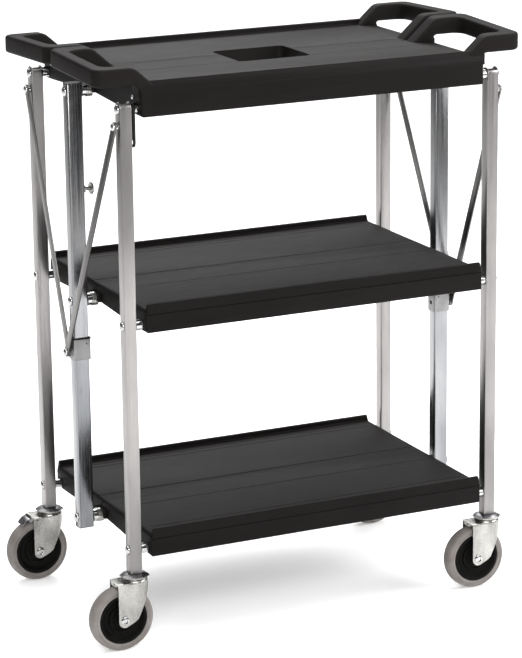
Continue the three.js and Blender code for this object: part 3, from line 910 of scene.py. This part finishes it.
BRACE = {
    "top_z": 810.0,
    "bottom_z": 428.0,
    "half": 7.5,
    "thickness": 2.5,
    "leg_face": 317.8,
    "top_x": 321.3,
    "bottom_x": {"front": 336.7, "rear": 333.5},
    "head": 5.8,
}
COLLAR = {
    "bottom": 415.0,
    "height": 33.0,
    "wall": 1.5,
    "corner": 2.6,
    "clearance": 0.4,
    "boss": 7.5,
    "hole": 3.5,
    "hole_z": 430.0,
}


def brace_bar(where):
    """A flat bar from leg to collar, sheared so that it leans outwards while its ends stay square."""
    reach = LEG_Y / MM
    fall = BRACE["top_z"] - BRACE["bottom_z"]
    length = math.hypot(reach, fall)
    half, thick = BRACE["half"], BRACE["thickness"]
    outline = [*arc(0, 0, half, 0, 180, 12), *arc(0, -length, half, 180, 360, 12)]
    bar = soften(prism(outline, "x", 0, thick), 0.5, 2, 40)
    washer = BRACE["leg_face"] - BRACE["top_x"]
    rivet = [(0, washer - 2.6), (3, washer - 2.6), (3, washer), (BRACE["head"], washer), (BRACE["head"], 0.4)]
    upper = lathe([*rivet, (3, 0.4), (3, thick), *dome(BRACE["head"], PIN["dome"], thick)], "x", sides=28)
    parts = [bar, upper]
    if where == "front":
        shank = [(0, 0.2), (3, 0.2), (3, thick)]
        parts.append(lathe([*shank, *dome(BRACE["head"], PIN["dome"], thick)], "x", (0, 0, -length), 28))
    lean = (BRACE["bottom_x"][where] - BRACE["top_x"]) / length
    shear = Matrix(((1, 0, -lean, 0), (0, 1, 0, 0), (0, 0, 1, 0), (0, 0, 0, 1)))
    turn = Matrix.Rotation(math.atan2(reach, fall), 4, "X")
    place = Matrix.Translation((BRACE["top_x"], -reach, BRACE["top_z"]))
    for part in parts:
        part.data.transform(place @ turn @ shear)
    return parts


def collar_sleeve(post_x):
    gap, wall = COLLAR["clearance"], COLLAR["wall"]
    x, y = POST["half_x"] + gap, POST["half_y"] + gap
    z0, z1 = COLLAR["bottom"], COLLAR["bottom"] + COLLAR["height"]
    sleeve = centred_box(x + wall, y + wall, z0, z1, COLLAR["corner"])
    soften(sleeve, 0.6, 2, 40)
    boss_end = BRACE["bottom_x"]["rear"] - 1.0 - post_x
    union(sleeve, rod(COLLAR["boss"], x + 0.5, boss_end, "x", (0, 0, BRACE["bottom_z"]), 28, 0.6))
    cut(sleeve, centred_box(x, y, z0 - 1, z1 + 1, 1.2))
    hole = rod(COLLAR["hole"], -x - 3 * wall, -x + 1, "x", (0, 0, COLLAR["hole_z"]), 20)
    screw_hole = rod(1.6, -y - 3 * wall, -y + 1, "y", (-x + 6, 0, z1 - 7), 16)
    return cut(sleeve, hole, screw_hole)


def collar_bush():
    """Black slide bush: its flange shows as a thin line on top of the collar."""
    x, y = POST["half_x"] + COLLAR["clearance"], POST["half_y"] + COLLAR["clearance"]
    z = COLLAR["bottom"] + COLLAR["height"]
    flange = centred_box(x + 2.2, y + 2.2, z + 0.1, z + 2.0, COLLAR["corner"])
    bore = centred_box(x - 0.2, y - 0.2, z - 1, z + 4, 1.2)
    return soften(cut(flange, bore), 0.4, 2, 40)


# ---- Latch ----

LATCH = {
    "inner": 292.0,
    "thickness": 3.0,
    "half": 8.0,
    "length": 58.0,
    "hook": 49.8,
    "slot": 3.6,
    "depth": 3.8,
    "gap": 0.4,
}
STUD = {"z": 682.0, "shank": 2.75, "head": 9.5, "inner": 288.0, "outer": 291.6, "post_face": 303.7}


def latch_tongue():
    half, length, hook = LATCH["half"], LATCH["length"], LATCH["hook"]
    x0, x1 = LATCH["inner"], LATCH["inner"] + LATCH["thickness"]
    slot, depth = LATCH["slot"], LATCH["depth"]
    outline = [*arc(0, 0, half, 0, 180, 10), *arc(0, half - length, half, 180, 360, 10)]
    tongue = prism(outline, "x", x0, x1)
    mouth = [
        *arc(slot - depth, -hook, slot, 270, 90, 6),
        (half + 2, -hook + slot + 1.5),
        (half + 2, -hook - slot - 1.5),
    ]
    cut(tongue, prism(mouth, "x", x0 - 1, x1 + 1))
    soften(tongue, 0.6, 2, 40)
    return cut(tongue, rod(PIN["radius"] + 0.3, x0 - 1, x1 + 1, "x", sides=24))


def latch_stud():
    outer, inner, head, shank = STUD["outer"], STUD["inner"], STUD["head"], STUD["shank"]
    post_face = STUD["post_face"]  # inner side of the post
    profile = [
        (0, inner - 0.1),
        (head - 3.5, inner),
        (head - 0.8, inner + 0.7),
        (head, inner + 1.6),
        (head, outer - 0.7),
        (head - 0.7, outer),
        (shank + 1.2, outer),
        (shank, outer + 1.2),
        (shank, post_face - 3.2),
        (shank + 2.6, post_face - 3.0),
        (shank + 2.6, post_face - 0.1),
        (shank, post_face),
        (shank, post_face + POST["wall"]),
        (0, post_face + POST["wall"]),
    ]
    return lathe(profile, "x", (0, 0, STUD["z"]), 32)


def build_post(end):
    """A centre post with its caps, its collar and the pins of the three shelves."""
    post = middle(f"centre_post_{end}")
    post_x = abs(post.x - SHELF_X) / MM
    low, high = POST["bottom"] - 0.6, PIVOT_Z["top"] / MM + POST["rise"] + 0.6
    rows = [
        (post_tube(), "post", "centre_posts", "post_aluminium", POST_METAL, [f"centre_post_{end}"]),
        (post_cap(low, False), "post_foot", "centre_posts", "latch_plastic", CAP_PLASTIC),
        (post_cap(high, True), "post_cap", "centre_posts", "latch_plastic", CAP_PLASTIC),
        (collar_sleeve(post_x), "slide", "collars", "collar_metal", COLLAR_METAL, [f"collar_{end}"]),
        (collar_bush(), "slide_bush", "collars", "latch_plastic", CAP_PLASTIC),
    ]
    fit_rows(rows, end, (post.x, 0, 0), end == "left")
    for level in LEVELS:
        node = f"{level}_pin_centre_{end}"
        pin = (centre_pin(post_x), f"{level}_pivot_centre", "centre_posts", "rivet_steel", RIVET, [node])
        fit_rows([pin], end, (post.x, 0, PIVOT_Z[level]), end == "left")


def build_leg(where, end):
    """A leg with the pins of the three shelves, and its brace down to the collar."""
    name, body, is_left = f"{where}_{end}", f"{where}_legs", end == "left"
    leg = middle(f"leg_{name}")
    leg_x = abs(leg.x - SHELF_X) / MM
    tube = (leg_tube(), "upright", body, "leg_aluminium", LEG_METAL, [f"leg_{name}"])
    fit_rows([tube], name, (leg.x, leg.y, 0), is_left)
    for level in LEVELS:
        node = f"{level}_pin_{name}"
        carries_latch = (level, name) == ("top", "front_left")
        pin = (leg_pin(leg_x, carries_latch), f"{level}_pivot", body, "rivet_steel", RIVET, [node])
        fit_rows([pin], name, (leg.x, leg.y, PIVOT_Z[level]), is_left)
    body = f"{where}_braces"
    bar, *rivets = brace_bar(where)
    # painted shade: the strut gets the darker copy of the leg aluminium
    rows = [(bar, "strut", body, "leg_aluminium", SHADED_BRACE_METAL, [f"brace_{name}"])]
    for i, rivet in enumerate(rivets):
        rows.append((rivet, f"strut_rivet_{i}", body, "rivet_steel", RIVET))
    fit_rows(rows, name, (SHELF_X, 0, 0), is_left, where == "rear")


def build_latch():
    """The tongue on the front left leg, and its stud on the left post."""
    tongue, stud = mirrored(latch_tongue(), True), mirrored(latch_stud(), True)
    hung = (SHELF_X, -LEG_Y, PIVOT_Z["top"])
    fit(tongue, "latch_tongue", hung, "latch", "latch_plastic", CAP_PLASTIC, ["latch"])
    fit(stud, "latch_button", (SHELF_X, 0, 0), "centre_posts", "zinc_steel", ZINC, ["latch_stud"])


for end_name in ENDS:
    build_post(end_name)
    for side_name in SIDES:
        build_leg(side_name, end_name)
build_latch()


# ---- Casters (swivel axis at X = Y = 0, trailing towards -X) ----

WHEEL = {"radius": 50.8, "hub": 38.5, "half": 12.5, "boss": 14.0, "bore": 4.2, "trail": 24.0}
FORK = {
    "inner": 15.5,
    "plate": 2.5,
    "crown_low": 106.8,
    "crown": 109.2,
    "rear": -34.0,
    "front": 21.0,
    "boss": 10.0,
    "toe": (-7.0, 47.0),
    "knee": (9.5, 74.0),
    "lip": 6.7,
    "lip_half": 11.6,
    "lip_thickness": 2.2,
    "edge": 2.0,
}
RACE = {"low": 114.6, "top": 119.7, "radius": 23.2, "neck": 12.5}
STEM = {"radius": 5.5, "top": 150.0, "kingpin": 4.0}
PEDAL = {
    "x": -38.2,
    "z": 104.4,
    "barrel": 2.4,
    "half": 11.6,
    "reach": -52.0,
    "drop": 8.0,
    "thickness": 1.8,
    "corner": 3.0,
    "pin": 1.5,
    "ear": 2.2,
    "gap": 0.3,
}


def nose_plan(grow, rear):
    """Plan of the fork: two straight sides that meet in a rounded nose."""
    half = FORK["inner"] + FORK["plate"] + grow
    front = FORK["front"] + grow
    turns = [math.radians(90 - 180 * i / 16) for i in range(17)]
    return [(rear, -half), (rear, half), *((front * math.cos(t), half * math.sin(t)) for t in turns)]


def fork_side():
    boss_x, boss_z = -WHEEL["trail"], WHEEL["radius"] - 1
    toe, front, top = FORK["toe"], FORK["front"] + 1, FORK["crown"] + 5
    return [
        *arc(boss_x, boss_z, FORK["boss"], 180, 288, 10),
        toe,
        (toe[0] + 5, toe[1] + 4),
        FORK["knee"],
        (front, FORK["crown_low"] - 1),
        (front, top),
        (boss_x - FORK["boss"], top),
    ]


def pedal_ear():
    """Outline of the ear that carries the pedal's pin."""
    rear, crown, x = FORK["rear"] + 2, FORK["crown"], PEDAL["x"]
    barrel = arc(x, PEDAL["z"], PEDAL["barrel"] + 0.3, 270, 90, 6)
    return [(rear, crown), (rear, PEDAL["z"] - PEDAL["barrel"]), *barrel, (x + 2, crown)]


def rear_lip():
    """Outline of the crown's rear edge, bent down where there's no pedal."""
    rear, crown = FORK["rear"], FORK["crown"]
    low, thick = crown - FORK["lip"], FORK["lip_thickness"]
    bend = arc(rear + thick, crown - thick, thick, 90, 180, 4)
    under = FORK["crown_low"]
    edge = [(rear, low), (rear + thick, low), (rear + thick, under), (rear + 4, under)]
    return [(rear + 4, crown), (rear + 2.5, crown), *bend, *edge]


def fork_shell(has_pedal):
    """Pressed-steel fork: side plates wrapped round the nose under a flat crown."""
    rear, crown, outer = FORK["rear"], FORK["crown"], FORK["inner"] + FORK["plate"]
    shell = prism(nose_plan(0, rear), "z", 30, crown)
    soften_where(shell, FORK["edge"], 4, lambda p: p.z > crown - 0.5 and p.x > rear + 1)
    common(shell, prism(fork_side(), "y", -outer - 1, outer + 1))
    cut(shell, prism(nose_plan(-FORK["plate"], rear - 9), "z", 20, FORK["crown_low"]))
    axle_place = (-WHEEL["trail"], 0, WHEEL["radius"])
    cut(shell, rod(WHEEL["bore"], -outer - 2, outer + 2, "y", axle_place, 24, 0.1))
    if has_pedal:
        start = PEDAL["half"] + PEDAL["gap"]
        end = start + PEDAL["ear"]
        for y0, y1 in ((start, end), (-end, -start)):
            union(shell, prism(pedal_ear(), "y", y0, y1))
    else:
        union(shell, prism(rear_lip(), "y", -FORK["lip_half"], FORK["lip_half"]))
        cut(shell, rod(2.2, rear - 2, rear + 5, "x", (0, 0, crown - 3.6), 20, 0.1))
    return soften(shell, 0.4, 2, 48)


def swivel_ring():
    """The pressed ring on the crown that holds the lower balls."""
    crown = FORK["crown"]
    profile = [
        (0, crown - 0.6),
        (20.4, crown - 0.6),
        (20.4, crown + 0.5),
        (19.6, crown + 1.8),
        (18.8, crown + 3.0),
        (18.2, crown + 3.6),
        (16.5, RACE["low"] - 0.5),
        (6, RACE["low"] - 0.4),
        (0, RACE["low"] - 0.4),
    ]
    return lathe(profile, "z", sides=48)


def race_plate():
    """Eight-sided upper race: a bright flange under a sloping top, which takes a darker copy of the zinc as
    painted shade.
    """
    low, top, radius = RACE["low"], RACE["top"], RACE["radius"]
    turn = math.radians(22.5)
    flange = [
        (0, low - 0.2),
        (radius - 0.7, low - 0.2),
        (radius, low + 0.3),
        (radius, low + 1.6),
        (radius - 0.8, low + 2.1),
        (0, low + 2.1),
    ]
    cone = [
        (0, low + 1.5),
        (radius - 1.2, low + 1.5),
        (radius - 1.2, low + 2.5),
        (RACE["neck"] + 1.5, top - 0.5),
        (RACE["neck"], top),
        (0, top),
    ]
    solids = [lathe(profile, "z", sides=8, turn=turn) for profile in (flange, cone)]
    return soften(solids[0], 0.3, 2), soften(solids[1], 0.4, 2)


def stem():
    top, radius, kingpin = STEM["top"], STEM["radius"], STEM["kingpin"]
    crown, plate = FORK["crown_low"], RACE["top"] - 2
    profile = [
        (0, crown - 3.4),
        (5.5, crown - 3.0),
        (6.5, crown - 1.8),
        (6.5, crown - 0.3),
        (kingpin, crown - 0.3),
        (kingpin, plate),
        (radius, plate),
        (radius, top - 1),
        (radius - 1, top),
        (0, top),
    ]
    return lathe(profile, "z", sides=28)


def wheel_ring(side):
    """Turns a closed profile on the axle. One side of it is given, and the other is its mirror image."""
    back = [(radius, -y) for radius, y in reversed(side)]
    return lathe([*side, *back, side[0]], "y", (-WHEEL["trail"], 0, WHEEL["radius"]), 72)


def tyre():
    half, radius, inner = WHEEL["half"], WHEEL["radius"], WHEEL["hub"]
    side = [
        (inner + 0.2, half - 2.0),
        (inner + 1.0, half - 0.9),
        (inner + 2.2, half - 0.5),
        (radius - 7.6, half),
        (radius - 7.1, half - 0.7),
        (radius - 6.5, half - 0.1),
        (radius - 4.6, half - 0.5),
        (radius - 2.6, half - 1.9),
        (radius - 1.1, half - 4.2),
        (radius - 0.25, half - 7.2),
        (radius, half - 10.0),
    ]
    return wheel_ring(side)


def hub():
    """Black hub: a rim flange, two raised rings in a recessed web, and the bearing boss."""
    half, rim, boss, bore = WHEEL["half"], WHEEL["hub"], WHEEL["boss"], WHEEL["bore"]
    web = half - 7.0
    side = [
        (bore, boss),
        (9.5, boss),
        (10.5, boss - 0.8),
        (11.2, web + 2.4),
        (13.6, web + 2.0),
        (14.6, web),
        (18.4, web),
        (19.2, web + 2.6),
        (21.8, web + 2.6),
        (22.8, web - 0.4),
        (29.6, web - 0.4),
        (31.4, web + 1.0),
        (33.6, half - 1.8),
        (34.6, half - 0.9),
        (rim - 0.8, half - 0.9),
        (rim - 0.1, half - 1.6),
    ]
    return wheel_ring(side)


def axle():
    """Axle bolt: a flared tubular head at the front and a nut at the back."""
    face = FORK["inner"] + FORK["plate"] + 0.2
    centre = (-WHEEL["trail"], 0, WHEEL["radius"])
    head = [
        (0, -face - 0.9),
        (2.6, -face - 0.9),
        (3.0, -face - 2.0),
        (4.4, -face - 2.6),
        (5.8, -face - 2.1),
        (6.8, -face - 0.7),
        (6.8, -face),
        (4, -face),
        (4, face + 5.4),
        (3.2, face + 6.2),
        (0, face + 6.2),
    ]
    bolt = lathe(head, "y", centre, 32)
    nut = [
        (4.05, face),
        (6.6, face),
        (7.0, face + 0.4),
        (7.0, face + 3.4),
        (6.2, face + 4.2),
        (4.05, face + 4.2),
        (4.05, face),
    ]
    return bolt, soften(lathe(nut, "y", centre, 6), 0.25, 2)


def brake_pedal():
    """Bent tab hinged behind the crown, with a rolled lip at its end."""
    x, z, barrel, half = PEDAL["x"], PEDAL["z"], PEDAL["barrel"], PEDAL["half"]
    reach, thick = PEDAL["reach"], PEDAL["thickness"]
    top = z + barrel
    end_z = top - PEDAL["drop"]
    tab = [
        (x + 0.5, top),
        (x - 2.5, top + 0.1),
        (x - 6.5, top - 1.6),
        (reach + 1.8, end_z + 0.4),
        (reach, end_z - 0.6),
        (reach + 0.4, end_z - thick - 0.2),
        (reach + 2.2, end_z - thick + 0.3),
        (x - 6.9, top - 1.6 - thick),
        (x - 2.8, top - thick),
        (x + 0.5, top - thick),
    ]
    plate = prism(tab, "y", -half, half)
    low, high = z - CAVITY_DEPTH, z + CAVITY_DEPTH
    common(plate, rounded_box(reach - 1, x + 30, -half, half, low, high, PEDAL["corner"]))
    union(plate, rod(barrel, -half, half, "y", (x, 0, z), 20))
    end = half + PEDAL["gap"] + PEDAL["ear"] + 0.5
    union(plate, rod(PEDAL["pin"], -end, end, "y", (x, 0, z), 16, 0.3))
    return soften(plate, 0.3, 2, 45)


def build_caster(where, end):
    name = f"{where}_{end}"
    swivel = joint_place(f"swivel_{name}")
    has_pedal = where == "rear"
    legs, fork_body, wheel_body = f"{where}_legs", f"caster_{name}", f"wheel_{name}"
    flange, cone = race_plate()
    bolt, nut = axle()
    rows = [
        (stem(), "stem", legs, "zinc_steel", ZINC, [f"caster_stem_{name}"]),
        (flange, "race_flange", legs, "zinc_steel", ZINC),
        # painted shade: the race's top cone gets the darker copy of the zinc
        (cone, "race_top", legs, "zinc_steel", SHADED_ZINC),
        (fork_shell(has_pedal), "fork", fork_body, "zinc_steel", ZINC, [f"caster_fork_{name}"]),
        (swivel_ring(), "swivel_ring", fork_body, "zinc_steel", ZINC),
        (bolt, "axle_bolt", fork_body, "rivet_steel", RIVET, [f"axle_{name}"]),
        (nut, "axle_nut", fork_body, "rivet_steel", RIVET),
        (tyre(), "tread", wheel_body, "tyre_rubber", RUBBER, [f"tyre_{name}"]),
        (hub(), "hub", wheel_body, "hub_plastic", HUB_PLASTIC, [f"wheel_hub_{name}"]),
    ]
    if has_pedal:
        pedal_node = f"brake_pedal_{name}"
        # painted shade: the pedal gets the darker copy of the zinc
        rows.append((brake_pedal(), "pedal", f"brake_{name}", "zinc_steel", SHADED_ZINC, [pedal_node]))
    fit_rows(rows, name, (swivel.x, swivel.y, 0))


for end_name in ENDS:
    for side_name in SIDES:
        build_caster(side_name, end_name)


# ---- Stage ----

FLOOR_GLOW = 0.3  # the floor is lit from below like a light table, so its shadows stay faint
CAMERA = {"place": (-1.877, -4.004, 1.609), "azimuth": 25.2, "elevation": 15.0, "roll": 0.69, "lens": 157.4}


def pale_floor():
    floor = box(-14000, 14000, -14000, 14000, -40, -0.5)
    floor.name = "floor"
    floor.data.transform(Matrix.Scale(MM, 4))
    material, tree, shader = surface("floor_paint", specular=0.2)
    shade = blend_colours(tree, noise(tree, 2, 3), (0.88, 0.88, 0.88), (0.90, 0.90, 0.90))
    tree.links.new(shade, shader.inputs["Base Color"])
    shader.inputs["Roughness"].default_value = 0.8
    shader.inputs["Emission Color"].default_value = (1, 1, 1, 1)
    shader.inputs["Emission Strength"].default_value = FLOOR_GLOW
    floor.data.materials.append(material)


def soft_light(name, place, target, size, power):
    data = bpy.data.lights.new(name, "AREA")
    data.shape = "RECTANGLE"
    data.size, data.size_y = size
    data.energy = power
    lamp = bpy.data.objects.new(name, data)
    bpy.context.scene.collection.objects.link(lamp)
    lamp.location = place
    lamp.rotation_euler = (Vector(target) - Vector(place)).to_track_quat("-Z", "Y").to_euler()


def studio():
    """A dim room that is darker behind the camera, with soft boxes over the cart and the floor beyond it."""
    world = bpy.data.worlds.new("studio")
    world.use_nodes = True
    tree = world.node_tree
    background = tree.nodes["Background"]
    direction = add(tree, "ShaderNodeTexCoord").outputs["Generated"]
    depth = add(tree, "ShaderNodeSeparateXYZ", {"Vector": direction}).outputs["Y"]
    tree.links.new(spread(tree, depth, 0.06, 0.22, -0.7, 0.7), background.inputs["Color"])
    background.inputs["Strength"].default_value = 1.0
    bpy.context.scene.world = world
    bpy.context.scene.view_settings.view_transform = "Standard"
    soft_light("overhead", (0.3, 0.6, 3.2), (0, 0, 0), (4.8, 4.6), 215)
    soft_light("fill_left", (-1.2, -3.0, 2.0), (0, -0.1, 0.1), (2.2, 1.5), 95)
    soft_light("fill_right", (2.6, -1.8, 1.9), (0, -0.1, 0.1), (2.2, 1.5), 95)
    soft_light("beyond", (4.2, 9.0, 7.0), (4.2, 9.0, 0), (5, 14), 900)


def camera():
    data = bpy.data.cameras.new("camera")
    data.sensor_fit = "VERTICAL"
    data.sensor_height = 36
    data.lens = CAMERA["lens"]
    view = bpy.data.objects.new("camera", data)
    bpy.context.scene.collection.objects.link(view)
    turn = Euler((math.radians(90 - CAMERA["elevation"]), 0, math.radians(-CAMERA["azimuth"])))
    roll = Matrix.Rotation(math.radians(-CAMERA["roll"]), 4, "Z")
    view.matrix_world = Matrix.Translation(CAMERA["place"]) @ turn.to_matrix().to_4x4() @ roll
    bpy.context.scene.camera = view


pale_floor()
studio()
camera()
